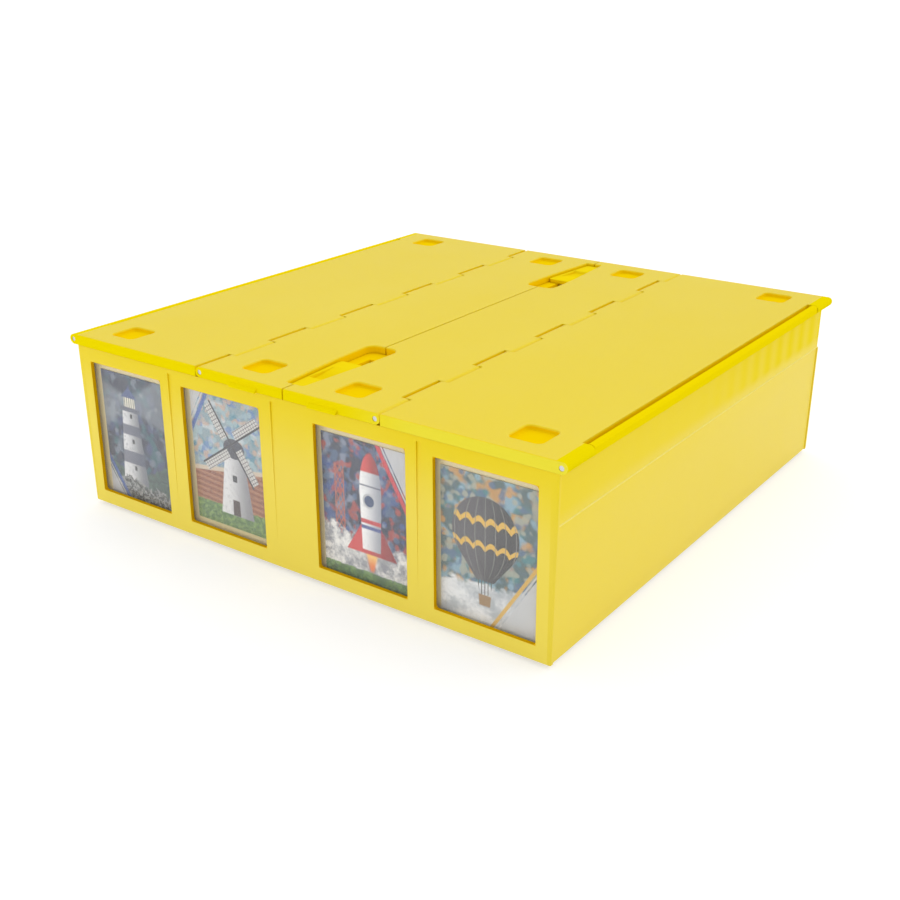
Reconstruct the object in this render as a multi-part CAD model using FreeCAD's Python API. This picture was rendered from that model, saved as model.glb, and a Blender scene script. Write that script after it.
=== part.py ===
"""Card storage box: four rows of trading cards under two folding lids.

Millimetres. X runs across the box, Y from the front (-Y) to the back, Z up.
The origin is the middle of the footprint, on the plane of the feet.
"""
import FreeCAD, Part
import os

# trading card and its rigid clear sleeve
card_w = 63.5
card_h = 88.9
card_t = 0.4
sleeve_margin = 6.35          # sleeve beyond the card, each side; twice this in height
sleeve_skin = 0.5
sleeve_inner_t = 2.5
sleeve_weld = 3.0
card_back = 0.25              # card from the sleeve's rear skin
card_slips = ((1.5, 0.0), (0.9, 5.6), (0.0, 0.0), (0.0, 0.0))   # sideways and up, in the sleeve

# tub
wall_t = 2.4
side_t = 1.9
floor_t = 2.4
inner_wall_t = 1.8            # wall behind the display slots
column_ease = 6.1             # row width beyond a sleeve's width
row_l = 356.5
spine_gap = 21.4              # empty channel between the two middle rows
side_flare = 2.1              # half-width gained from the base to the rim
slot_clear = 0.25             # round a sleeve in its display slot
slot_floor = 3.7              # display slot's floor above the base
head_room = 5.2               # rim above a sleeve's top
corner_r = 1.1
base_r = 0.8
front_proud = 0.7             # front wall's ends beyond the side walls
rear_proud = 0.7              # the same at the rear, up to the step
window_ease = 1.3             # window beyond the card, each side
window_r = 2.0
sill_lap = 2.9                # window sill above a card's lower edge
relief_d = 1.0                # depth of the front grooves at their top
relief_top = 3.0              # plain band above the grooves
relief_foot = 14.0            # grooves run out this far above the base
groove_w = 3.6
panel_w = 23.4
side_step = 0.5
side_step_z = 80.0            # above the base

# removable partitions
partition_t = 1.6
partition_clear = 0.2
guide_d = 0.5
guides_per_row = 17
partition_guides = (6, 12)
partition_drop = 4.0          # partition's top below the rim
thumb_r = 14.0

# lids
lid_h = 6.6
lid_overhang = 1.2            # beyond the tub's front
lid_overhang_back = 2.1
lip_gap = 0.7                 # lip above the rim
rest_gap = 0.3                # lid ribs above the row walls
skin_t = 2.2
rib_t = 2.4
edge_r = 1.2
rib_pitch = 56.0
inner_leaf_w = 67.85          # centre seam to the fold's pin
seam_gap = 1.0
slot_w = 1.4                  # between the tub's barrel and the leaf
pin_offset = 2.4              # outer pin beyond the rim's side
end_knuckle_l = 28.0
pin_d = 3.0
pin_clear = 0.05
pin_sink = 0.3                # pin's end behind the lip's face
hinge_gap = 0.4               # round the knuckles
end_finger_l = 28.4           # first and last finger of the fold
finger_count = 9              # fingers between those two
finger_gap = 0.5

# pull ledges on the inner leaves' lips
pull_x = 30.8
pull_l = 21.0
pull_out = 2.2
pull_t = 0.9
pull_h = 2.8

# stacking pockets and feet
pocket_in_x = 36.5
pocket_hinge = 30.95          # outer pockets' middle from the hinge pin
pocket_edge = 24.3            # pocket's middle from the lid's front edge
pocket_l = 20.8
pocket_w = 21.4
pocket_d = 2.8
pocket_r = 3.8
pocket_floor_r = 1.2
rim_r = 0.8                   # soft edge round pockets and latch recesses
pocket_wall = 1.8
foot_clear = 0.8
foot_short = 0.4

# sliding latches in the centre seam
latch_edge = 10.6             # recess tip from the lid's front edge
latch_l = 84.2
latch_taper_l = 47.0
latch_tip_w = 13.2
latch_mid_w = 21.0            # recess at the taper's end
latch_w = 23.2
latch_tip_r = 1.8
latch_r = 6.5
latch_d = 5.0                 # recess depth, to the tray
latch_wall = 1.8
tray_gap = 0.5                # tray's edge to the other leaf
slider_room = 11.4            # recess left behind the slider at the end of its travel
slider_r = 2.5
slider_gap = 0.8
slider_drop = 2.2             # slider's top below the lid
slider_float = 0.15
latch_travel = 20.0
stem_w = 4.0
stem_l = 10.0
stem_back = 7.0               # stem's middle from the slider's rear end
stem_clear = 0.3
stem_foot = 2.0               # foot beyond the stem, each side; its length closes the slot
stem_foot_t = 1.4
dimple_w = 11.6
dimple_d = 1.7
dimple_flat = 5.0             # length at full depth, before the long ramp
dimple_at = 18.5              # dimple's front edge from the slider's tip
dimple_back = 10.5            # dimple's rear edge from the slider's rear end

# derived sizes
sleeve_w = card_w + 2 * sleeve_margin
sleeve_h = card_h + 2 * sleeve_margin
sleeve_t = sleeve_inner_t + 2 * sleeve_skin
slot_t = sleeve_t + 2 * slot_clear
column_w = sleeve_w + column_ease
front_t = wall_t + slot_t + inner_wall_t
tub_d = front_t + row_l + wall_t
foot_h = pocket_d - foot_short
base_z = foot_h
rim_z = base_z + slot_floor + sleeve_h + head_room
lid_z = rim_z + lip_gap
top_z = lid_z + lid_h
knuckle_r = lid_h / 2
pin_z = top_z - knuckle_r
row_wall_z = lid_z - rest_gap
floor_z = base_z + floor_t

lid_y = (tub_d + lid_overhang + lid_overhang_back) / 2
front_y = -lid_y + lid_overhang
back_y = front_y + tub_d
row_front_y = front_y + front_t
row_back_y = back_y - wall_t
slot_y = front_y + wall_t

spine_x = spine_gap / 2
row_in_x = spine_x + wall_t
divider_x = row_in_x + column_w
row_out_x = divider_x + wall_t
side_mid_x = row_out_x + column_w + side_t
base_x = side_mid_x - side_flare / 2
rim_x = side_mid_x + side_flare / 2
column_mid = (row_in_x + column_w / 2, row_out_x + column_w / 2)
fold_x = inner_leaf_w
outer_pin_x = rim_x + pin_offset

window_w = card_w + 2 * window_ease
window_h = card_h + 2 * window_ease
card_z = base_z + slot_floor + sleeve_weld
window_z = card_z + sill_lap
window_x = (-column_mid[1], -column_mid[0], column_mid[0], column_mid[1])

pin_r = pin_d / 2
hole_r = pin_r + pin_clear
pocket_out_x = outer_pin_x - pocket_hinge
pocket_y = lid_y - pocket_edge
pocket_spots = [(x, y) for x in (pocket_in_x, pocket_out_x) for y in (-pocket_y, pocket_y)]
fold_edge_in = fold_x - knuckle_r - hinge_gap
fold_edge_out = fold_x + knuckle_r + hinge_gap
leaf_edge = outer_pin_x - knuckle_r - slot_w
seam_x = seam_gap / 2
over = 5.0                    # how far a cutting tool runs past a face


def vec(x, y, z):
    return FreeCAD.Vector(x, y, z)


def box(x0, x1, y0, y1, z0, z1):
    return Part.makeBox(x1 - x0, y1 - y0, z1 - z0, vec(x0, y0, z0))


def prism(points, run):
    wire = Part.makePolygon(points + points[:1])
    return Part.Face(wire).extrude(run)


def prism_xz(points, y0, y1):
    return prism([vec(x, y0, z) for x, z in points], vec(0, y1 - y0, 0))


def prism_yz(points, x0, x1):
    return prism([vec(x0, y, z) for y, z in points], vec(x1 - x0, 0, 0))


def prism_xy(points, z0, z1):
    return prism([vec(x, y, z0) for x, y in points], vec(0, 0, z1 - z0))


def rod(x, z, r, y0, y1):
    return Part.makeCylinder(r, y1 - y0, vec(x, y0, z), vec(0, 1, 0))


def upright_edges(shape, y=None):
    """Upright edges, all of them or those at one place along the box."""
    edges = [e for e in shape.Edges if abs(e.tangentAt(e.FirstParameter).z) > 0.99]
    return [e for e in edges if y is None or abs(e.CenterOfMass.y - y) < 1e-4]


def low_edges(shape):
    low = min(v.Z for v in shape.Vertexes)
    return [e for e in shape.Edges if max(p.z for p in e.discretize(3)) < low + 1e-4]


def rounded_box(x, y, length, width, z0, z1, r):
    block = box(x - length / 2, x + length / 2, y - width / 2, y + width / 2, z0, z1)
    return block.makeFillet(r, upright_edges(block))


def fuse(shapes):
    return shapes[0].multiFuse(shapes[1:]).removeSplitter()


def cut(shape, tools):
    return shape.cut(tools)


def mirror_x(shape):
    return shape.mirror(vec(0, 0, 0), vec(1, 0, 0))


def mirror_y(shape):
    return shape.mirror(vec(0, 0, 0), vec(0, 1, 0))


def both_sides(shape):
    return [shape, mirror_x(shape)]


def side_x(z):
    """Outer face of the flared side wall at a height."""
    return base_x + side_flare * (z - base_z) / (rim_z - base_z)


def flared(grow, y0, y1, round_y):
    """Block with the tub's flared outline, its corners at one end rounded."""
    low = base_x + grow
    high = rim_x + grow
    block = prism_xz([(-low, base_z), (low, base_z), (high, rim_z), (-high, rim_z)], y0, y1)
    corners = [e for e in block.Edges if e.BoundBox.ZLength > 1 and abs(e.CenterOfMass.y - round_y) < 1e-4]
    block = block.makeFillet(corner_r, corners)
    skip = y0 + y1 - round_y
    return block.makeFillet(base_r, [e for e in low_edges(block) if abs(e.CenterOfMass.y - skip) > 1e-4])


def between_sides(y0, y1, z0, z1):
    """Space between the inner faces of the flared side walls."""
    low = side_x(z0) - side_t
    high = side_x(z1) - side_t
    return prism_xz([(-low, z0), (low, z0), (high, z1), (-high, z1)], y0, y1)


# tub: flared outside, its front and back a little wider; windows and shallow relief on the front
front = flared(front_proud, front_y, slot_y, front_y)
rear = flared(rear_proud, row_back_y, back_y, back_y)
shell = fuse([front, flared(0, slot_y, back_y, back_y), rear])
shell = cut(shell, [between_sides(row_front_y, row_back_y, floor_z, rim_z + over)])

walls = []
for x in (spine_x, divider_x):
    wall = box(x, x + wall_t, row_front_y, row_back_y, floor_z - floor_t / 2, row_wall_z)
    walls += both_sides(wall)

# outer hinge barrels on the side walls' tops
barrel_y = lid_y - end_knuckle_l - finger_gap
flare_z = pin_z - knuckle_r - pin_offset
flare_x = side_x(flare_z)
web = prism_xz([(outer_pin_x - knuckle_r, pin_z), (outer_pin_x, pin_z), (outer_pin_x, pin_z - knuckle_r),
                (flare_x, flare_z), (flare_x - side_t, flare_z), (flare_x - side_t, rim_z)],
               -barrel_y, barrel_y)
barrel = rod(outer_pin_x, pin_z, knuckle_r, -barrel_y, barrel_y)
barrels = both_sides(web) + both_sides(barrel)

feet = []
for x, y in pocket_spots:
    foot = rounded_box(x, y, pocket_l - 2 * foot_clear, pocket_w - 2 * foot_clear,
                       0, base_z + floor_t / 2, pocket_r - foot_clear)
    feet += both_sides(foot)

tub = fuse([shell] + walls + barrels + feet)

tools = []
for x in window_x:
    opening = box(x - window_w / 2, x + window_w / 2, front_y - over, slot_y + slot_t / 2,
                  window_z, window_z + window_h)
    across = [e for e in opening.Edges if e.BoundBox.YLength > 1]
    tools.append(opening.makeFillet(window_r, across))
    half = sleeve_w / 2 + slot_clear
    tools.append(box(x - half, x + half, slot_y, slot_y + slot_t, base_z + slot_floor, rim_z + over))
tools.append(box(-spine_x, spine_x, slot_y, row_front_y + over, floor_z, rim_z + over))

relief_z = rim_z - relief_top
relief = [(front_y, base_z + relief_foot), (front_y + relief_d, relief_z), (front_y, relief_z)]
groove_x = divider_x + wall_t / 2
tools += both_sides(prism_yz(relief, groove_x - groove_w / 2, groove_x + groove_w / 2))
tools.append(prism_yz(relief, -panel_w / 2, panel_w / 2))

step_z = base_z + side_step_z
step_top = flare_z
slope_z = step_z + side_step
step = prism_xz([(side_x(step_z), step_z), (side_x(slope_z) - side_step, slope_z),
                 (side_x(step_top) - side_step, step_top), (side_x(step_top) + over, step_top),
                 (side_x(step_z) + over, step_z)], slot_y, back_y + over)
tools += both_sides(step)
tools += both_sides(rod(outer_pin_x, pin_z, hole_r, -barrel_y - over, barrel_y + over))

# guides for the partitions: shallow grooves down both walls of each row
guide_pitch = row_l / (guides_per_row + 1)
guide_w = partition_t + 2 * partition_clear
for i in range(1, guides_per_row + 1):
    y0 = row_front_y + i * guide_pitch - guide_w / 2
    y1 = y0 + guide_w
    for x0, x1 in ((row_in_x - guide_d, divider_x + guide_d), (row_out_x - guide_d, row_out_x + over)):
        tools += both_sides(box(x0, x1, y0, y1, floor_z, row_wall_z + over))
    z0 = floor_z
    z1 = rim_z + over
    slant = [(side_x(z0) - side_t - over, z0), (side_x(z0) - side_t + guide_d, z0),
             (side_x(z1) - side_t + guide_d, z1), (side_x(z1) - side_t - over, z1)]
    tools += both_sides(prism_xz(slant, y0, y1))
tub = cut(tub, tools)


# the moulding's floor and walls, each up to where it meets its neighbours
def tub_piece(room):
    return tub.common(room).removeSplitter()


sky_z = top_z + over
inside = between_sides(slot_y, back_y + over, -over, sky_z)
half = box(0, rim_x + over, slot_y, back_y + over, -over, sky_z)
front_room = box(-rim_x - over, rim_x + over, front_y - over, slot_y, -over, sky_z)
floor_room = between_sides(slot_y, row_back_y, -over, floor_z)
back_room = between_sides(row_back_y, back_y + over, -over, sky_z)
slot_room = between_sides(slot_y, row_front_y, floor_z, sky_z).common(half)
tub_front = tub_piece(front_room)
tub_floor = tub_piece(floor_room)
tub_back = tub_piece(back_room)
tub_side = tub_piece(half.cut(inside))
slot_wall = tub_piece(slot_room)
spine_wall, divider_wall = [
    tub_piece(box(x, x + wall_t, row_front_y, row_back_y, floor_z, sky_z)) for x in (spine_x, divider_x)
]


# lids
def round_over(x0, x1):
    """Tools that round a leaf's front and back top edges."""
    y0 = -lid_y
    edge = box(x0, x1, y0 - over, y0 + edge_r, top_z - edge_r, top_z + over)
    bar = Part.makeCylinder(edge_r, x1 - x0, vec(x0, y0 + edge_r, top_z - edge_r), vec(1, 0, 0))
    corner = edge.cut(bar)
    return [corner, mirror_y(corner)]


def pocket_boss(x, y):
    return rounded_box(x, y, pocket_l + 2 * pocket_wall, pocket_w + 2 * pocket_wall,
                       top_z - pocket_d - pocket_wall, top_z - skin_t / 2, pocket_r + pocket_wall)


def pocket_tool(x, y):
    tool = rounded_box(x, y, pocket_l, pocket_w, top_z - pocket_d, top_z + over, pocket_r)
    return tool.makeFillet(pocket_floor_r, low_edges(tool))


def soft_rim(shape, room):
    """Rounds the top edges of a pocket that lie in the given room."""
    rim = []
    for edge in shape.Edges:
        bounds = edge.BoundBox
        if bounds.ZMin > top_z - 1e-4 and room.isInside(bounds):
            rim.append(edge)
    return shape.makeFillet(rim_r, rim)


def soft_pockets(shape, x):
    """Rounds the rims of a leaf's front and rear pockets."""
    reach_x = pocket_l / 2 + rim_r
    reach_y = pocket_w / 2 + rim_r
    for y in (-pocket_y, pocket_y):
        room = FreeCAD.BoundBox(x - reach_x, y - reach_y, lid_z, x + reach_x, y + reach_y, sky_z)
        shape = soft_rim(shape, room)
    return shape


def leaf_plate(x0, x1):
    """Skin with a rib all round its edge."""
    plate = box(x0, x1, -lid_y, lid_y, lid_z, top_z)
    inside = box(x0 + rib_t, x1 - rib_t, -lid_y + rib_t, lid_y - rib_t, lid_z - over, top_z - skin_t)
    return plate.cut(inside)


def cross_ribs(x0, x1, reach):
    """Stiffening ribs across a leaf, between the given distances from the middle."""
    count = int(reach / rib_pitch)
    spots = [i * rib_pitch for i in range(-count, count + 1)]
    return [box(x0, x1, y - rib_t / 2, y + rib_t / 2, lid_z, top_z - skin_t / 2) for y in spots]


span = 2 * (lid_y - end_finger_l)
finger_pitch = span / finger_count
finger_bounds = [-lid_y] + [-span / 2 + i * finger_pitch for i in range(finger_count + 1)] + [lid_y]


def fingers(first, plate_edge):
    """Every second finger of the fold, from the first one given."""
    made = []
    last = len(finger_bounds) - 2
    for i in range(first, last + 1, 2):
        y0 = finger_bounds[i] + (finger_gap / 2 if i > 0 else 0)
        y1 = finger_bounds[i + 1] - (finger_gap / 2 if i < last else 0)
        x0, x1 = sorted((fold_x, plate_edge))
        made.append(box(x0, x1, y0, y1, lid_z, top_z))
        made.append(rod(fold_x, pin_z, knuckle_r, y0, y1))
    return made


fold_hole = rod(fold_x, pin_z, hole_r, -lid_y - over, lid_y + over)
side_hole = rod(outer_pin_x, pin_z, hole_r, -lid_y - over, lid_y + over)

# outer leaf, hinged on the tub at its outer edge
outer_parts = [leaf_plate(fold_edge_out, leaf_edge)]
outer_parts += fingers(1, fold_edge_out + rib_t / 2)
outer_parts += cross_ribs(fold_edge_out + rib_t / 2, leaf_edge - rib_t / 2, pocket_y - pocket_w)
knuckle = fuse([box(leaf_edge - rib_t / 2, outer_pin_x, -lid_y, -lid_y + end_knuckle_l, lid_z, top_z),
                rod(outer_pin_x, pin_z, knuckle_r, -lid_y, -lid_y + end_knuckle_l)])
outer_parts += [knuckle, mirror_y(knuckle)]
outer_parts += [pocket_boss(pocket_out_x, y) for y in (-pocket_y, pocket_y)]
outer_leaf = fuse(outer_parts)
outer_tools = [pocket_tool(pocket_out_x, y) for y in (-pocket_y, pocket_y)]
outer_tools += [fold_hole, side_hole] + round_over(fold_x - over, outer_pin_x + knuckle_r + over)
outer_leaf = soft_pockets(cut(outer_leaf, outer_tools), pocket_out_x)


# inner leaves
def latch_block(grow, z0, z1):
    """Tapered plan of the front latch recess, grown by a margin, as a block."""
    y0 = -lid_y + latch_edge - grow
    y1 = -lid_y + latch_edge + latch_taper_l
    y2 = -lid_y + latch_edge + latch_l + grow
    tip = latch_tip_w / 2 + grow
    mid = latch_mid_w / 2 + grow
    wide = latch_w / 2 + grow
    block = prism_xy([(-tip, y0), (tip, y0), (mid, y1), (wide, y2), (-wide, y2), (-mid, y1)], z0, z1)
    block = block.makeFillet(latch_tip_r + grow, upright_edges(block, y0))
    return block.makeFillet(latch_r + grow, upright_edges(block, y2))


def soft_recesses(shape, x0, x1):
    """Rounds the rims of the front and rear latch recesses between two places across the box."""
    y0 = -lid_y + latch_edge
    room = FreeCAD.BoundBox(x0, y0 - rim_r, lid_z, x1, y0 + latch_l + rim_r, sky_z)
    rear_room = FreeCAD.BoundBox(x0, -y0 - latch_l - rim_r, lid_z, x1, -y0 + rim_r, sky_z)
    return soft_rim(soft_rim(shape, room), rear_room)


def pull_ledge():
    """Ledge at the foot of the front lip, to lift the leaf by."""
    y0 = -lid_y
    side = [(y0 + rib_t / 2, lid_z), (y0 - pull_out, lid_z), (y0 - pull_out, lid_z + pull_t),
            (y0, lid_z + pull_h), (y0 + rib_t / 2, lid_z + pull_h)]
    return prism_yz(side, pull_x - pull_l / 2, pull_x + pull_l / 2)


latch_reach = lid_y - latch_edge - latch_l - latch_wall - rib_t
half_right = box(seam_x, fold_x, -lid_y, lid_y, lid_z - over, top_z + over)
ring_front = latch_block(latch_wall, lid_z, top_z).common(half_right)
rings = [ring_front, mirror_y(ring_front)]
pulls = [pull_ledge(), mirror_y(pull_ledge())]

inner_parts = [leaf_plate(seam_x, fold_edge_in)] + rings + pulls
inner_parts += fingers(0, fold_edge_in - rib_t / 2)
inner_parts += cross_ribs(seam_x + rib_t / 2, fold_edge_in - rib_t / 2, latch_reach)
inner_parts += [pocket_boss(pocket_in_x, y) for y in (-pocket_y, pocket_y)]
inner_leaf = fuse(inner_parts)
inner_tools = [pocket_tool(pocket_in_x, y) for y in (-pocket_y, pocket_y)]
inner_tools += [fold_hole] + round_over(-over, fold_x + knuckle_r + over)
inner_leaf = soft_pockets(cut(inner_leaf, inner_tools), pocket_in_x)

# the left leaf is open under its half of each recess
notch = latch_block(0, lid_z - over, top_z + over)
inner_left = mirror_x(soft_recesses(cut(inner_leaf, [notch, mirror_y(notch)]), 0, latch_w))

# the right leaf carries the latch trays, which reach across the seam
tray_top = top_z - latch_d
recess = latch_block(0, tray_top, top_z + over)
tray = latch_block(-tray_gap, lid_z, tray_top)
tip_y = -lid_y + latch_edge + slider_gap
slider_y = -lid_y + latch_edge + latch_l - slider_room - latch_travel
stem_y = slider_y - stem_back - stem_l / 2
stem_end = stem_y + stem_l + latch_travel
stem_slot = box(-stem_w / 2 - stem_clear, stem_w / 2 + stem_clear, stem_y - stem_clear, stem_end + stem_clear,
                lid_z - over, tray_top + over)
inner_right = soft_recesses(cut(inner_leaf, [recess, mirror_y(recess)]), 0, latch_w)
inner_right = fuse([inner_right, tray, mirror_y(tray)])
inner_right = cut(inner_right, [stem_slot, mirror_y(stem_slot)])

# latch slider: tapered plate with a thumb dimple, held by a stem and foot through the tray
slider_z0 = tray_top + slider_float
slider_z1 = top_z - slider_drop
plate = latch_block(-slider_gap, slider_z0, slider_z1)
plate = plate.common(box(-latch_w, latch_w, tip_y - over, slider_y, lid_z, top_z))
plate = plate.makeFillet(slider_r, upright_edges(plate, slider_y))
dimple_y = tip_y + dimple_at
dimple_z = slider_z1 - dimple_d
ramp_y = dimple_y + dimple_d + dimple_flat
dimple = prism_yz([(dimple_y, slider_z1), (dimple_y + dimple_d, dimple_z), (ramp_y, dimple_z),
                   (slider_y - dimple_back, slider_z1)], -dimple_w / 2, dimple_w / 2)
foot_top = lid_z - slider_float
foot_w = stem_w / 2 + stem_foot
stem = box(-stem_w / 2, stem_w / 2, stem_y, stem_y + stem_l, foot_top - stem_foot_t, slider_z0 + slider_float)
foot = box(-foot_w, foot_w, stem_y, stem_end, foot_top - stem_foot_t, foot_top)
slider = fuse([plate.cut(dimple), stem, foot])


# hinge pins
def pin(x):
    return rod(x, pin_z, pin_r, -lid_y + pin_sink, lid_y - pin_sink)


# clear sleeve with a card in it, standing in each display slot
def sleeve(x):
    y0 = slot_y + slot_clear
    z0 = base_z + slot_floor
    outside = box(x - sleeve_w / 2, x + sleeve_w / 2, y0, y0 + sleeve_t, z0, z0 + sleeve_h)
    inside = box(x - sleeve_w / 2 + sleeve_weld, x + sleeve_w / 2 - sleeve_weld, y0 + sleeve_skin,
                 y0 + sleeve_skin + sleeve_inner_t, z0 + sleeve_weld, z0 + sleeve_h + over)
    return outside.cut(inside)


def display_card(x, slip):
    x0 = x - card_w / 2 + slip[0]
    y0 = slot_y + slot_clear + sleeve_skin + sleeve_inner_t - card_back - card_t
    z0 = card_z + slip[1]
    return box(x0, x0 + card_w, y0, y0 + card_t, z0, z0 + card_h)


# partitions standing in the guides of each row
def partition(row, place):
    y0 = row_front_y + place * guide_pitch - partition_t / 2
    z0 = floor_z
    z1 = rim_z - partition_drop
    ease = guide_d - partition_clear
    if row == 0:
        left = row_in_x - ease
        right = [divider_x + ease] * 2
    else:
        left = row_out_x - ease
        right = [side_x(z) - side_t + ease for z in (z0, z1)]
    board = prism_xz([(left, z0), (right[0], z0), (right[1], z1), (left, z1)], y0, y0 + partition_t)
    return board.cut(rod(column_mid[row], z1, thumb_r, y0 - over, y0 + partition_t + over))


nodes = {
    "tub_floor": tub_floor,
    "tub_front": tub_front,
    "tub_back": tub_back,
    "tub_side_left": mirror_x(tub_side),
    "tub_side_right": tub_side,
    "slot_wall_left": mirror_x(slot_wall),
    "slot_wall_right": slot_wall,
    "spine_wall_left": mirror_x(spine_wall),
    "spine_wall_right": spine_wall,
    "divider_wall_left": mirror_x(divider_wall),
    "divider_wall_right": divider_wall,
    "outer_lid_left": mirror_x(outer_leaf),
    "outer_lid_right": outer_leaf,
    "inner_lid_left": inner_left,
    "inner_lid_right": inner_right,
    "latch_slider_front": slider,
    "latch_slider_rear": mirror_y(slider),
}
for name, x in (("outer", outer_pin_x), ("inner", fold_x)):
    nodes["hinge_pin_" + name + "_left"] = pin(-x)
    nodes["hinge_pin_" + name + "_right"] = pin(x)
for i, (x, slip) in enumerate(zip(window_x, card_slips), 1):
    nodes["card_sleeve_%d" % i] = sleeve(x)
    nodes["display_card_%d" % i] = display_card(x, slip)
row_names = ("far_left", "mid_left", "mid_right", "far_right")
for row_name, row, flip in zip(row_names, (1, 0, 0, 1), (True, True, False, False)):
    for place, end in zip(partition_guides, ("front", "rear")):
        board = partition(row, place)
        nodes["partition_%s_%s" % (row_name, end)] = mirror_x(board) if flip else board

os.makedirs("parts", exist_ok=True)
for name, shape in nodes.items():
    solids = shape.Solids
    if len(solids) != 1 or not shape.isValid():
        print("check", name, len(solids), shape.isValid())
    solids[0].exportStep("parts/%s.step" % name)
    print("%-26s volume %10.1f  faces %d" % (name, solids[0].Volume, len(solids[0].Faces)))
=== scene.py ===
import bpy
import math
from mathutils import Matrix, Vector


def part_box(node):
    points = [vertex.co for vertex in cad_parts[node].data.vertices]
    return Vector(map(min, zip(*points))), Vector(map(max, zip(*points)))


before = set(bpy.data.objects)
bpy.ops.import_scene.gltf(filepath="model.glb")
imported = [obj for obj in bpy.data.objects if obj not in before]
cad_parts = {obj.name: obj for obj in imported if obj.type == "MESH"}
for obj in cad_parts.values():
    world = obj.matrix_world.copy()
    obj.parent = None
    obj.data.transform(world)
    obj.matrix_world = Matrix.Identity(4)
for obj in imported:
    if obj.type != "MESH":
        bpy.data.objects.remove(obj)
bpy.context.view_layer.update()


# Tub: one injection moulding in yellow polypropylene, with a fine satin grain from the mould.
# The partition guides inside its walls leave faint upright sink marks on the outside.
# The walls are painted paler towards the base, the front more than the sides, as a painted reflection of
# the white table; hinge barrels and window sides are left matt by the mould, and the window sides carry
# painted shade.
class Shade:
    """A value in a material's node tree; arithmetic on it adds Math nodes."""

    def __init__(self, tree, out):
        self.tree = tree
        self.out = out

    def node(self, kind, settings, inputs, output=0):
        made = self.tree.nodes.new("ShaderNode" + kind)
        for name, value in settings.items():
            setattr(made, name, value)
        for name, value in inputs.items():
            if isinstance(value, Shade):
                self.tree.links.new(value.out, made.inputs[name])
            else:
                made.inputs[name].default_value = value
        return Shade(self.tree, made.outputs[output] if made.outputs else None)

    def math(self, operation, *values):
        return self.node("Math", {"operation": operation}, dict(enumerate(values)))

    def __add__(self, other):
        return self.math("ADD", self, other)

    def __sub__(self, other):
        return self.math("SUBTRACT", self, other)

    def __mul__(self, other):
        return self.math("MULTIPLY", self, other)

    def __truediv__(self, other):
        return self.math("DIVIDE", self, other)

    def __pow__(self, other):
        return self.math("POWER", self, other)

    def __radd__(self, other):
        return self.math("ADD", other, self)

    def __rsub__(self, other):
        return self.math("SUBTRACT", other, self)

    def __rmul__(self, other):
        return self.math("MULTIPLY", other, self)

    def __rtruediv__(self, other):
        return self.math("DIVIDE", other, self)

    def __abs__(self):
        return self.math("ABSOLUTE", self)

    def sine(self):
        return self.math("SINE", self)

    def most(self, other):
        return self.math("MAXIMUM", self, other)

    def least(self, other):
        return self.math("MINIMUM", self, other)

    def over(self, low, high):
        """0 below the first value and 1 past the second, eased between them."""
        inputs = {"Value": self, "From Min": low, "From Max": high}
        return self.node("MapRange", {"interpolation_type": "SMOOTHSTEP"}, inputs)

    def blend(self, first, second):
        """The first colour where this mask is 0 and the second where it is 1."""
        return self.node("Mix", {"data_type": "RGBA"}, {0: self, 6: first, 7: second}, 2)

    def noise(self, scale, detail=2.0, rough=0.5):
        inputs = {"Vector": self, "Scale": scale, "Detail": detail, "Roughness": rough}
        return self.node("TexNoise", {}, inputs)

    def stretch(self, x, y, z):
        return self.node("Mapping", {}, {"Vector": self, "Scale": (x, y, z)})

    def axes(self):
        return [self.node("SeparateXYZ", {}, {"Vector": self}, i) for i in range(3)]


def rgb(red, green, blue):
    return (red, green, blue, 1.0)


def start_material(name):
    """A new material with its shader and the piece's own coordinates."""
    made = bpy.data.materials.new(name)
    made.use_nodes = True
    tree = made.node_tree
    shader = tree.nodes["Principled BSDF"]
    place = Shade(tree, tree.nodes.new("ShaderNodeTexCoord").outputs["Object"])
    return made, shader, place


def feed(shader, inputs):
    for name, value in inputs.items():
        if isinstance(value, Shade):
            value.tree.links.new(value.out, shader.inputs[name])
        else:
            shader.inputs[name].default_value = value


def matt_skin(material, shader, mask, color, rough):
    """A second shader without sheen, where the mask is 1."""
    tree = material.node_tree
    inputs = {"Base Color": color, "Roughness": rough, "Specular IOR Level": 0.0}
    matt = mask.node("BsdfPrincipled", {}, inputs)
    satin = Shade(tree, shader.outputs[0])
    both = mask.node("MixShader", {}, {0: mask, 1: satin, 2: matt})
    tree.links.new(both.out, tree.nodes["Material Output"].inputs["Surface"])


def give(material, *nodes):
    for name in nodes:
        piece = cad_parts[name]
        piece.data.materials.clear()
        piece.data.materials.append(material)


yellow = rgb(0.90, 0.695, 0.004)
deep_yellow = rgb(0.86, 0.62, 0.001)
pale_yellow = rgb(0.91, 0.72, 0.025)


def satin_skin(place, sink=None, soft_edge=True):
    """Roughness and normal of the moulded surface: mould grain, rubbing marks, soft edges."""
    grain = place.noise(2600.0, 2.0, 0.6)
    cloud = place.noise(28.0, 4.0, 0.6)
    rub = place.stretch(1.0, 0.12, 1.0).noise(420.0, 3.0, 0.7).over(0.60, 0.78)
    rough = 0.36 + 0.10 * (cloud - 0.5) + 0.05 * (grain - 0.5) + 0.05 * rub
    height = grain * 0.00006 + cloud * 0.00012
    if sink:
        height = height + sink
    relief = {"Height": height, "Distance": 1.0, "Strength": 1.0}
    if soft_edge:
        relief["Normal"] = place.node("Bevel", {"samples": 4}, {"Radius": 0.0005})
    return rough, place.node("Bump", {}, relief)


def yellow_tone(place):
    """Flow of the pigment through the moulding: broad soft clouds and fine specks."""
    flow = place.stretch(1.0, 0.6, 1.4).noise(9.0, 3.0, 0.55).over(0.30, 0.72)
    speck = place.noise(900.0, 1.0).over(0.62, 0.80)
    tone = (0.55 * flow).blend(yellow, pale_yellow)
    return (0.22 * speck).blend(tone, deep_yellow)


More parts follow.
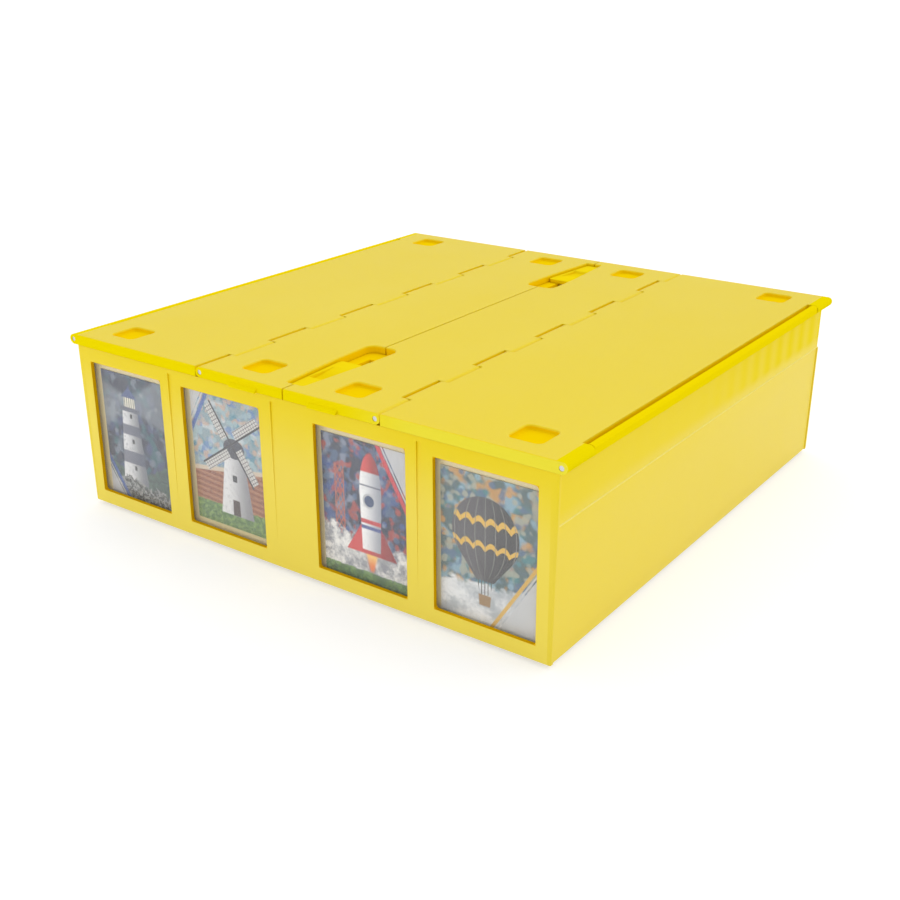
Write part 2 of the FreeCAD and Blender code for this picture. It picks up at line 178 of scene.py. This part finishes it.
tub_plastic, shader, place = start_material("tub_plastic")
x, y, z = place.axes()
guide_pitch = 0.01981
guide_start = -0.1758
side_x = 0.1790
barrel_x = 0.1815
front_plate_y = -0.1816
slot_back_y = -0.1770
step_z = 0.0823
slope_top_z = 0.0829
barrel_z = 0.1130
divider_x = 0.0966
window_off = 0.04235
window_half = 0.0331
sill_z = 0.0118
head_z = 0.1036
hair = 0.0001
wave = ((y - guide_start) * (math.tau / guide_pitch)).sine()
at_side = abs(x).over(0.1795, 0.1802) * z.over(0.080, 0.086)
rough, normal = satin_skin(place, wave * at_side * 0.00003, soft_edge=False)
# Painted reflection of the white table: the low walls are painted paler, the front more than the sides.
low_wall_reflection = 1 - z.over(0.060, 0.115)
out_side = abs(x).over(side_x, side_x + 6 * hair)
table_reflection = out_side.blend(rgb(0.94, 0.76, 0.105), rgb(0.89, 0.70, 0.055))
color = (0.9 * low_wall_reflection).blend(yellow_tone(place), table_reflection)
flank = out_side * y.over(front_plate_y, front_plate_y + 2 * hair)
# Painted highlight: the step ledge along each side is painted a pale yellow.
ledge = flank * z.over(step_z, step_z + hair) * (1 - z.over(slope_top_z, slope_top_z + hair))
color = ledge.blend(color, rgb(0.95, 0.82, 0.20))
feed(shader, {"Base Color": color, "Roughness": rough, "Normal": normal, "Specular IOR Level": 0.2})
barrel = z.over(barrel_z, barrel_z + 6 * hair) * abs(x).over(barrel_x, barrel_x + 7 * hair)
beside = abs(abs(abs(x) - divider_x) - window_off)
window = (1 - beside.over(window_half, window_half + hair)) * z.over(sill_z, sill_z + hair)
window = window * (1 - z.over(head_z, head_z + hair)) * (1 - y.over(slot_back_y, slot_back_y + 5 * hair))
# Painted shade under the barrels: the upper band of each side turns matt and more saturated towards the
# rear, varied by the sink marks.
band = (0.35 + 0.35 * y.over(-0.15, 0.15)) * flank * z.over(0.083, 0.092)
band = band * (1 + 0.22 * wave * y.over(-0.05, 0.08))
# Painted shade: the window sides are painted deep orange; the barrels and the side band get the plain
# yellow, and all of them are matt.
matt_and_shade_color = window.blend(rgb(0.88, 0.69, 0.001), rgb(0.82, 0.46, 0.001))
matt_skin(tub_plastic, shader, barrel.most(window).most(band), matt_and_shade_color, 0.4)
give(tub_plastic, "tub_floor", "tub_front", "tub_back", "tub_side_left", "tub_side_right")
give(tub_plastic, "slot_wall_left", "slot_wall_right", "spine_wall_left", "spine_wall_right")
give(tub_plastic, "divider_wall_left", "divider_wall_right")


# Partitions: thin yellow boards of the same plastic that slide down into the guides of each row.
# Each has a thumb notch in its top edge; handling has dulled them a little.
board_plastic, shader, place = start_material("board_plastic")
rough, normal = satin_skin(place)
tone = yellow_tone(place)
feed(shader, {"Base Color": tone, "Roughness": rough + 0.04, "Normal": normal, "Specular IOR Level": 0.3})
for row in ("far_left", "mid_left", "mid_right", "far_right"):
    give(board_plastic, "partition_" + row + "_front", "partition_" + row + "_rear")


# Display sleeves: rigid clear vinyl pouches, welded along three edges, standing in the window slots.
# The face is slightly hazy, with hairline scuffs from sliding in and out; the back is milky.
clear_vinyl, shader, place = start_material("clear_vinyl")
x, y, z = place.axes()
card_low, card_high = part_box("display_card_1")
milky = y.over(card_high.y, card_high.y + hair)
haze = place.noise(60.0, 3.0, 0.6)
scuff = place.stretch(1.0, 1.0, 0.05).noise(700.0, 2.0, 0.7).over(0.62, 0.75)
feed(shader, {
    "Base Color": milky.blend(rgb(0.93, 0.94, 0.93), rgb(0.98, 0.84, 0.46)),
    "Roughness": 0.16 + 0.12 * haze + 0.15 * scuff,
    "Alpha": 0.05 + 0.04 * haze + 0.03 * scuff + 0.85 * milky,
    "IOR": 1.52,
})
give(clear_vinyl, "card_sleeve_1", "card_sleeve_2", "card_sleeve_3", "card_sleeve_4")


# Display cards: coated cardboard with a printed picture, one in each sleeve behind a window.
# The pictures are generic: a lighthouse, a windmill, a rocket and a balloon before blurred lights,
# each with brushed silver strips and a colour bar printed across a corner.
def card_places(number, place):
    """Across and up the picture, each from 0 to 1."""
    low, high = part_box("display_card_%d" % number)
    x, y, z = place.axes()
    return (x - low.x) / (high.x - low.x), (z - low.z) / (high.z - low.z)


def spot(across, up, at, size, soft=0.06):
    """A soft-edged ellipse."""
    far = ((across - at[0]) / size[0]) ** 2 + ((up - at[1]) / size[1]) ** 2
    return 1 - far.over(1 - soft, 1 + soft)


def below(up, line, soft=0.006):
    return (line - up).over(-soft, soft)


def column(across, up, at, low, high, foot, head, soft=0.006):
    """An upright shape between two heights, with its half widths at foot and head."""
    half = foot + (up - low) * ((head - foot) / (high - low))
    return (half - abs(across - at)).over(-soft, soft) * below(up, high, soft) * (1 - below(up, low, soft))


def ridge(across, peaks):
    """Height of a mountain line: the highest of some slopes."""
    line = None
    for at, top, left, right in peaks:
        away = across - at
        slope = top - (away * -left).most(away * right)
        line = slope if line is None else line.most(slope)
    return line


def blurred_lights(place, scale, ground, tones):
    """Out-of-focus background: soft discs and blotches of a few colours."""
    color = ground
    for count, tone in enumerate(tones):
        step = (0.013 * count, 0.0, 0.021 * count)
        shift = place.node("VectorMath", {"operation": "ADD"}, {0: place, 1: step})
        blotch = shift.noise(scale * (0.7 + 0.2 * count), 1.0, 0.4).over(0.53, 0.66)
        flat = shift.stretch(1.0, 0.0, 1.0)
        disc = place.node("TexVoronoi", {"feature": "F1"}, {"Vector": flat, "Scale": scale})
        color = (0.85 * blotch.most(1 - disc.over(0.16, 0.30))).blend(color, tone)
    return color


def print_card(number, picture):
    material, shader, place = start_material("printed_card_%d" % number)
    across, up = card_places(number, place)
    color = picture(place, across, up)
    color = color.node("VectorMath", {"operation": "SCALE"}, {0: color, "Scale": 1.35})
    ink = place.noise(3200.0, 0.0)
    color = (0.08 * ink.over(0.35, 0.75)).blend(color, rgb(0.02, 0.02, 0.02))
    side = abs(across - 0.5).over(0.4985, 0.4995)
    color = side.blend(color, rgb(0.80, 0.79, 0.75))
    rough = 0.24 + 0.10 * ink
    feed(shader, {"Base Color": color, "Roughness": rough, "Coat Weight": 0.25, "Coat Roughness": 0.08})
    give(material, "display_card_%d" % number)


def corner_strips(place, across, up, color, lean, strips):
    """Slanted printed strips: each has a start, a width and its own colour."""
    line = across + up * lean
    brushed = place.stretch(1.0, 1.0, 0.08).noise(900.0, 2.0, 0.6)
    for start, width, tone in strips:
        strip = line.over(start, start + 0.008) * (1 - line.over(start + width, start + width + 0.008))
        color = (strip * (0.75 + 0.4 * brushed)).blend(color, tone)
    return color


def lighthouse(place, across, up):
    fine = place.noise(420.0, 3.0, 0.6)
    lights = (rgb(0.02, 0.10, 0.13), rgb(0.05, 0.07, 0.16), rgb(0.14, 0.17, 0.22), rgb(0.03, 0.05, 0.09))
    color = blurred_lights(place, 110.0, rgb(0.012, 0.02, 0.05), lights)
    beam = (0.05 + 0.35 * abs(across - 0.40) - abs(up - 0.785 - 0.1 * (across - 0.40))).over(-0.02, 0.05)
    color = (0.35 * beam).blend(color, rgb(0.36, 0.40, 0.44))
    far = ridge(across, ((0.92, 0.36, 0.35, 0.6), (0.02, 0.30, 0.5, 0.3))) + 0.06 * (fine - 0.5)
    slope = fine.over(0.4, 0.7).blend(rgb(0.02, 0.05, 0.05), rgb(0.06, 0.12, 0.10))
    color = below(up, far).blend(color, slope)
    turn = (across - 0.40) / 0.15
    stone = turn.over(-0.9, 1.1).blend(rgb(0.66, 0.66, 0.67), rgb(0.13, 0.14, 0.17))
    stone = (0.45 * fine.over(0.50, 0.68)).blend(stone, rgb(0.20, 0.21, 0.23))
    for low, high in ((0.30, 0.40), (0.53, 0.61)):
        stone = (below(up, high) * (1 - below(up, low)) * 0.85).blend(stone, rgb(0.06, 0.07, 0.12))
    color = column(across, up, 0.40, 0.14, 0.72, 0.19, 0.115).blend(color, stone)
    for height in (0.25, 0.465, 0.665):
        pane = column(across, up, 0.41, height, height + 0.035, 0.017, 0.017)
        color = pane.blend(color, rgb(0.02, 0.02, 0.03))
    room = column(across, up, 0.40, 0.745, 0.83, 0.085, 0.08)
    glass = abs((across * 95.0).sine()).over(0.25, 0.5).blend(rgb(0.05, 0.05, 0.06), rgb(0.62, 0.60, 0.50))
    color = room.blend(color, glass)
    color = column(across, up, 0.40, 0.715, 0.75, 0.15, 0.155).blend(color, rgb(0.10, 0.11, 0.15))
    color = column(across, up, 0.40, 0.825, 0.91, 0.12, 0.0).blend(color, rgb(0.05, 0.08, 0.20))
    rock = ridge(across, ((0.30, 0.20, 0.3, 0.25), (0.75, 0.16, 0.3, 0.4))) + 0.12 * (fine - 0.5)
    cliff = fine.over(0.42, 0.62).blend(rgb(0.03, 0.035, 0.04), rgb(0.26, 0.27, 0.27))
    color = below(up, rock).blend(color, cliff)
    blue = rgb(0.03, 0.08, 0.30)
    silver = rgb(0.42, 0.43, 0.46)
    strips = ((0.0, 0.20, silver), (0.215, 0.02, silver), (0.25, 0.05, blue))
    return corner_strips(place, across, up, color, 0.9, strips)


def windmill(place, across, up):
    fine = place.noise(380.0, 3.0, 0.65)
    lights = (rgb(0.06, 0.22, 0.30), rgb(0.52, 0.56, 0.58), rgb(0.10, 0.20, 0.42), rgb(0.48, 0.34, 0.26),
              rgb(0.30, 0.42, 0.46))
    color = blurred_lights(place, 120.0, rgb(0.22, 0.30, 0.34), lights)
    row = (up + 0.05 * (across - 0.5)) * 150.0
    soil = row.sine().over(-0.5, 0.6).blend(rgb(0.24, 0.085, 0.045), rgb(0.36, 0.16, 0.09))
    soil = (0.6 * fine.over(0.48, 0.68)).blend(soil, rgb(0.15, 0.05, 0.03))
    color = below(up, 0.43 + 0.10 * (across - 0.5)).blend(color, soil)
    ledge = abs(up - 0.44 - 0.10 * (across - 0.5)).over(0.010, 0.022)
    color = ledge.blend(rgb(0.55, 0.46, 0.36), color)
    grass = fine.over(0.40, 0.64).blend(rgb(0.05, 0.13, 0.03), rgb(0.18, 0.30, 0.08))
    color = below(up, 0.13 + 0.05 * fine).blend(color, grass)
    turn = (across - 0.56) / 0.17
    wall = turn.over(-0.9, 1.1).blend(rgb(0.68, 0.68, 0.69), rgb(0.22, 0.22, 0.25))
    wall = (0.4 * fine.over(0.50, 0.66)).blend(wall, rgb(0.30, 0.30, 0.32))
    color = column(across, up, 0.56, 0.10, 0.60, 0.22, 0.12).blend(color, wall)
    color = column(across, up, 0.55, 0.10, 0.22, 0.05, 0.045).blend(color, rgb(0.05, 0.03, 0.03))
    color = column(across, up, 0.55, 0.36, 0.41, 0.03, 0.03).blend(color, rgb(0.03, 0.03, 0.04))
    color = spot(across, up, (0.56, 0.61), (0.14, 0.075)).blend(color, rgb(0.05, 0.055, 0.08))
    wide, high = (across - 0.53) * 0.714, up - 0.64
    along = wide * 0.83 + high * 0.56
    over = high * 0.83 - wide * 0.56
    for reach, side in ((along, over), (over, 0 - along), (0 - along, 0 - over), (0 - over, along)):
        sail = reach.over(0.06, 0.066) * (1 - reach.over(0.33, 0.336))
        sail = sail * side.over(-0.002, 0.002) * (1 - side.over(0.070, 0.075))
        lattice = abs((reach * 120.0).sine()).least(abs((side * 140.0).sine())).over(0.15, 0.40)
        color = sail.blend(color, lattice.blend(rgb(0.06, 0.05, 0.06), rgb(0.58, 0.57, 0.55)))
        spar = reach.over(-0.01, 0.0) * (1 - reach.over(0.345, 0.35)) * (1 - abs(side).over(0.006, 0.009))
        color = spar.blend(color, rgb(0.03, 0.03, 0.04))
    silver = rgb(0.52, 0.53, 0.55)
    blue = rgb(0.05, 0.12, 0.38)
    strips = ((-0.80, 0.17, silver), (-0.615, 0.02, silver), (-0.58, 0.05, blue))
    return corner_strips(place, across, up, color, -0.8, strips)


def rocket(place, across, up):
    fine = place.noise(360.0, 3.0, 0.65)
    puff = place.noise(120.0, 4.0, 0.6)
    lights = (rgb(0.03, 0.08, 0.26), rgb(0.02, 0.03, 0.06), rgb(0.20, 0.24, 0.34), rgb(0.36, 0.05, 0.04),
              rgb(0.05, 0.10, 0.20))
    color = blurred_lights(place, 115.0, rgb(0.012, 0.02, 0.055), lights)
    tower = column(across, up, 0.20, 0.08, 0.80, 0.055, 0.055)
    rising = abs(((across + up * 0.8) * 60.0).sine())
    falling = abs(((across - up * 0.8) * 60.0).sine())
    brace = rising.least(falling).over(0.20, 0.45)
    edge = abs(across - 0.20).over(0.040, 0.046)
    color = (tower * (1 - brace).most(edge)).blend(color, rgb(0.40, 0.10, 0.06))
    smoke = 0.26 + 0.34 * (puff - 0.5) + 0.22 * abs(across - 0.56)
    cloud = (puff + 0.5 * fine).over(0.58, 0.95).blend(rgb(0.22, 0.23, 0.27), rgb(0.76, 0.75, 0.73))
    color = below(up, smoke, 0.03).blend(color, cloud)
    flame = column(across, up, 0.56, 0.10, 0.27, 0.02, 0.085, 0.02)
    color = flame.blend(color, up.over(0.12, 0.25).blend(rgb(0.72, 0.16, 0.02), rgb(0.86, 0.62, 0.18)))
    fins = column(across, up, 0.56, 0.22, 0.42, 0.29, 0.12)
    color = fins.blend(color, across.over(0.40, 0.80).blend(rgb(0.56, 0.035, 0.04), rgb(0.24, 0.012, 0.02)))
    turn = (across - 0.56) / 0.125
    skin = turn.over(-0.9, 1.1).blend(rgb(0.82, 0.82, 0.82), rgb(0.26, 0.28, 0.34))
    skin = (0.3 * fine.over(0.52, 0.66)).blend(skin, rgb(0.40, 0.41, 0.44))
    bands = ((0.40, 0.425, rgb(0.05, 0.08, 0.26)), (0.44, 0.47, rgb(0.50, 0.04, 0.05)),
             (0.70, 0.71, rgb(0.10, 0.11, 0.16)))
    for low, high, tone in bands:
        skin = (below(up, high) * (1 - below(up, low))).blend(skin, tone)
    tip = across.over(0.48, 0.64).blend(rgb(0.60, 0.05, 0.05), rgb(0.26, 0.015, 0.02))
    skin = (1 - below(up, 0.80)).blend(skin, tip)
    nose = spot(across, up, (0.56, 0.66), (0.125, 0.27)) * (1 - below(up, 0.655))
    hull = column(across, up, 0.56, 0.25, 0.66, 0.105, 0.125).most(nose)
    color = hull.blend(color, skin)
    color = spot(across, up, (0.545, 0.60), (0.075, 0.054)).blend(color, rgb(0.45, 0.46, 0.48))
    color = spot(across, up, (0.545, 0.60), (0.055, 0.039)).blend(color, rgb(0.02, 0.05, 0.14))
    grass = fine.over(0.40, 0.64).blend(rgb(0.03, 0.11, 0.03), rgb(0.13, 0.26, 0.07))
    color = below(up, 0.075 + 0.03 * fine).blend(color, grass)
    silver = rgb(0.50, 0.51, 0.53)
    red = rgb(0.55, 0.03, 0.05)
    strips = ((1.42, 0.05, red), (1.48, 0.02, silver), (1.515, 0.30, silver))
    return corner_strips(place, across, up, color, 0.8, strips)


def balloon(place, across, up):
    fine = place.noise(420.0, 3.0, 0.6)
    puff = place.stretch(0.6, 1.0, 1.0).noise(110.0, 4.0, 0.6)
    lights = (rgb(0.04, 0.20, 0.22), rgb(0.22, 0.36, 0.46), rgb(0.52, 0.26, 0.05), rgb(0.06, 0.12, 0.22),
              rgb(0.32, 0.33, 0.26))
    color = blurred_lights(place, 105.0, rgb(0.05, 0.10, 0.11), lights)
    dune = 0.24 + 0.20 * (puff - 0.5) + 0.10 * across
    sand = (puff + 0.4 * fine).over(0.50, 0.90).blend(rgb(0.36, 0.39, 0.42), rgb(0.70, 0.71, 0.72))
    color = below(up, dune, 0.015).blend(color, sand)
    bulge = (1 - ((up - 0.62) / 0.30) ** 2).most(0.05) ** 0.5
    gore = (across - 0.46) / bulge
    cloth = (gore + 0.1 * fine).over(-0.25, 0.36).blend(rgb(0.075, 0.07, 0.08), rgb(0.010, 0.010, 0.013))
    zigzag = abs((gore * 24.0).sine()) * 0.035
    for low, high in ((0.50, 0.535), (0.66, 0.70)):
        band = (up - zigzag).over(low, low + 0.006) * (1 - (up - zigzag).over(high, high + 0.006))
        cloth = band.blend(cloth, rgb(0.66, 0.40, 0.04))
    seam = abs((gore * 30.0).sine()).over(0.05, 0.16)
    cloth = seam.blend(rgb(0.20, 0.19, 0.18), cloth)
    skirt = column(across, up, 0.46, 0.31, 0.50, 0.09, 0.30)
    envelope = spot(across, up, (0.46, 0.62), (0.34, 0.245), 0.03).most(skirt)
    color = envelope.blend(color, cloth)
    ropes = column(across, up, 0.46, 0.215, 0.315, 0.05, 0.085)
    cord = abs(((across - 0.46) * 95.0).sine()).over(0.25, 0.55)
    color = (ropes * (1 - cord)).blend(color, rgb(0.05, 0.045, 0.04))
    basket = column(across, up, 0.46, 0.14, 0.215, 0.055, 0.065)
    weave = ((across * 260.0).sine() * (up * 360.0).sine()).over(-0.3, 0.4)
    color = basket.blend(color, weave.blend(rgb(0.10, 0.05, 0.02), rgb(0.46, 0.27, 0.09)))
    silver = rgb(0.50, 0.51, 0.52)
    gold = rgb(0.62, 0.36, 0.03)
    strips = ((0.50, 0.04, gold), (0.555, 0.02, silver), (0.59, 0.45, silver))
    return corner_strips(place, across, up, color, -0.9, strips)


for number, picture in enumerate((lighthouse, windmill, rocket, balloon), 1):
    print_card(number, picture)


# Lid leaves: two outer leaves hinged on the tub and two inner leaves folding on them.
# The same yellow plastic; the tops carry rubbing marks, while lips, knuckles and pockets are matt. The
# pockets and recesses carry painted shade, and the lips a painted sheen towards the right.
lid_plastic, shader, place = start_material("lid_plastic")
x, y, z = place.axes()
rough, normal = satin_skin(place)
knuckle = abs(x).over(0.1818, 0.1822)
lip = abs(y).over(0.1842, 0.1850)
tone = yellow_tone(place)
feed(shader, {"Base Color": tone, "Roughness": rough, "Normal": normal, "Specular IOR Level": 0.3})
# Painted sheen: the lips are painted paler towards the right end.
lip_yellow_and_sheen = x.over(0.04, 0.10).blend(rgb(0.90, 0.73, 0.001), rgb(0.90, 0.79, 0.05))
# Everything below the top is matt; the pockets and recesses there are painted deeper orange as painted
# shade.
sunk = 1 - z.over(0.1186, 0.1198)
knuckle_and_pocket_shade = knuckle.blend(rgb(0.92, 0.64, 0.001), rgb(0.85, 0.69, 0.001))
matt_skin(lid_plastic, shader, sunk.most(lip).most(knuckle), lip.blend(knuckle_and_pocket_shade, lip_yellow_and_sheen), 0.4)
give(lid_plastic, "outer_lid_left", "outer_lid_right", "inner_lid_left", "inner_lid_right")


# Hinge pins: drawn steel rods pressed through the knuckles, their cut ends showing in the lips.
# The drawing die leaves fine lines along the rods.
pin_steel, shader, place = start_material("pin_steel")
draw = place.stretch(1.0, 0.02, 1.0).noise(2400.0, 3.0, 0.7)
feed(shader, {
    "Base Color": draw.over(0.3, 0.7).blend(rgb(0.50, 0.50, 0.51), rgb(0.68, 0.68, 0.69)),
    "Metallic": 1.0,
    "Roughness": 0.20 + 0.18 * draw,
    "Normal": place.node("Bump", {}, {"Height": draw, "Distance": 0.00002}),
})
for side in ("left", "right"):
    give(pin_steel, "hinge_pin_outer_" + side, "hinge_pin_inner_" + side)


# Latch sliders: small tapered plates that run in a tray across the centre seam, held from below.
# Their thumb dimples are rubbed a little smoother by use, and they and the lower faces are painted a deeper
# yellow as painted shade.
slider_plastic, shader, place = start_material("slider_plastic")
x, y, z = place.axes()
rough, normal = satin_skin(place)
# Painted shade: the dimples and lower faces are painted a deeper yellow.
tone = (0.6 * (1 - z.over(0.1165, 0.1179))).blend(yellow_tone(place), deep_yellow)
feed(shader, {"Base Color": tone, "Roughness": rough - 0.04, "Normal": normal, "Specular IOR Level": 0.0})
give(slider_plastic, "latch_slider_front", "latch_slider_rear")


# Studio: a white table under a soft sky, brighter behind, with two low strip lamps for the walls.
# Seen directly or in a reflection the table and sky are plain white.
def seen(tree):
    path = tree.nodes.new("ShaderNodeLightPath")
    camera = Shade(tree, path.outputs["Is Camera Ray"])
    glossy = Shade(tree, path.outputs["Is Glossy Ray"])
    through = Shade(tree, path.outputs["Is Transmission Ray"])
    return camera.most(glossy).most(through)


scene = bpy.context.scene
scene.view_settings.view_transform = "Standard"

bpy.ops.object.select_all(action="DESELECT")
bpy.ops.mesh.primitive_plane_add(size=40.0, location=(0.0, 0.0, 0.0))
table = bpy.context.object
table.name = "table"
table_white = bpy.data.materials.new("table_white")
table_white.use_nodes = True
tree = table_white.node_tree
tree.nodes.clear()
white = Shade(tree, None)
matt = white.node("BsdfDiffuse", {}, {"Color": rgb(0.88, 0.88, 0.88)})
shaded = white.node("BsdfDiffuse", {}, {"Color": rgb(0.55, 0.55, 0.55)})
bright = white.node("Emission", {}, {"Color": rgb(1.0, 1.0, 1.0), "Strength": 0.56})
shown = white.node("AddShader", {}, {0: shaded, 1: bright})
surface = white.node("MixShader", {}, {0: seen(tree), 1: matt, 2: shown})
white.node("OutputMaterial", {}, {"Surface": surface})
table.data.materials.append(table_white)

sky = bpy.data.worlds.new("studio_sky")
scene.world = sky
sky.use_nodes = True
tree = sky.node_tree
tree.nodes.clear()
white = Shade(tree, None)
across, behind, rise = Shade(tree, tree.nodes.new("ShaderNodeTexCoord").outputs["Generated"]).axes()
overhead = (behind + 0.5 * rise).over(-0.25, 0.75).blend(rgb(0.62, 0.62, 0.62), rgb(1.30, 1.30, 1.30))
light = white.node("Background", {}, {"Color": overhead, "Strength": 1.0})
far_sky = rise.over(0.15, 0.45).blend(rgb(0.75, 0.75, 0.75), rgb(0.35, 0.35, 0.35))
mirrored = white.node("Background", {}, {"Color": far_sky, "Strength": 1.0})
plain = white.node("Background", {}, {"Color": rgb(1.0, 1.0, 1.0), "Strength": 1.0})
path = tree.nodes.new("ShaderNodeLightPath")
in_gloss = Shade(tree, path.outputs["Is Glossy Ray"])
in_view = Shade(tree, path.outputs["Is Camera Ray"]).most(Shade(tree, path.outputs["Is Transmission Ray"]))
lit = white.node("MixShader", {}, {0: in_gloss, 1: light, 2: mirrored})
white.node("OutputWorld", {}, {"Surface": white.node("MixShader", {}, {0: in_view, 1: lit, 2: plain})})


def lamp(name, place, aim, size, power):
    data = bpy.data.lights.new(name, "AREA")
    data.shape = "RECTANGLE"
    data.size, data.size_y = size
    data.energy = power
    made = bpy.data.objects.new(name, data)
    scene.collection.objects.link(made)
    made.location = place
    made.rotation_euler = (Vector(aim) - Vector(place)).to_track_quat("-Z", "Y").to_euler()


lamp("front_strip", (-0.40, -1.55, 0.22), (0.0, 0.0, 0.08), (1.6, 0.36), 4.5)
lamp("side_strip", (1.58, 0.28, 0.22), (0.0, 0.0, 0.08), (1.6, 0.36), 1.0)

# camera: a little above the box, off its right front corner
eye = Vector((0.46402, -0.66245, 0.35515))
turn, rise, tilt = (math.radians(a) for a in (35.771, 20.456, -0.236))
back = Vector((math.sin(turn) * math.cos(rise), -math.cos(turn) * math.cos(rise), math.sin(rise)))
flat = Vector((math.cos(turn), math.sin(turn), 0.0))
rising = back.cross(flat)
right = math.cos(tilt) * flat + math.sin(tilt) * rising
up = math.cos(tilt) * rising - math.sin(tilt) * flat
view = bpy.data.cameras.new("view")
view.sensor_width = 36.0
view.lens = 49.02
view.shift_x = -0.0032
view.shift_y = -0.0492
view.clip_start = 0.01
view.clip_end = 100.0
camera = bpy.data.objects.new("view", view)
scene.collection.objects.link(camera)
camera.matrix_world = Matrix.Translation(eye) @ Matrix((right, up, back)).transposed().to_4x4()
scene.camera = camera
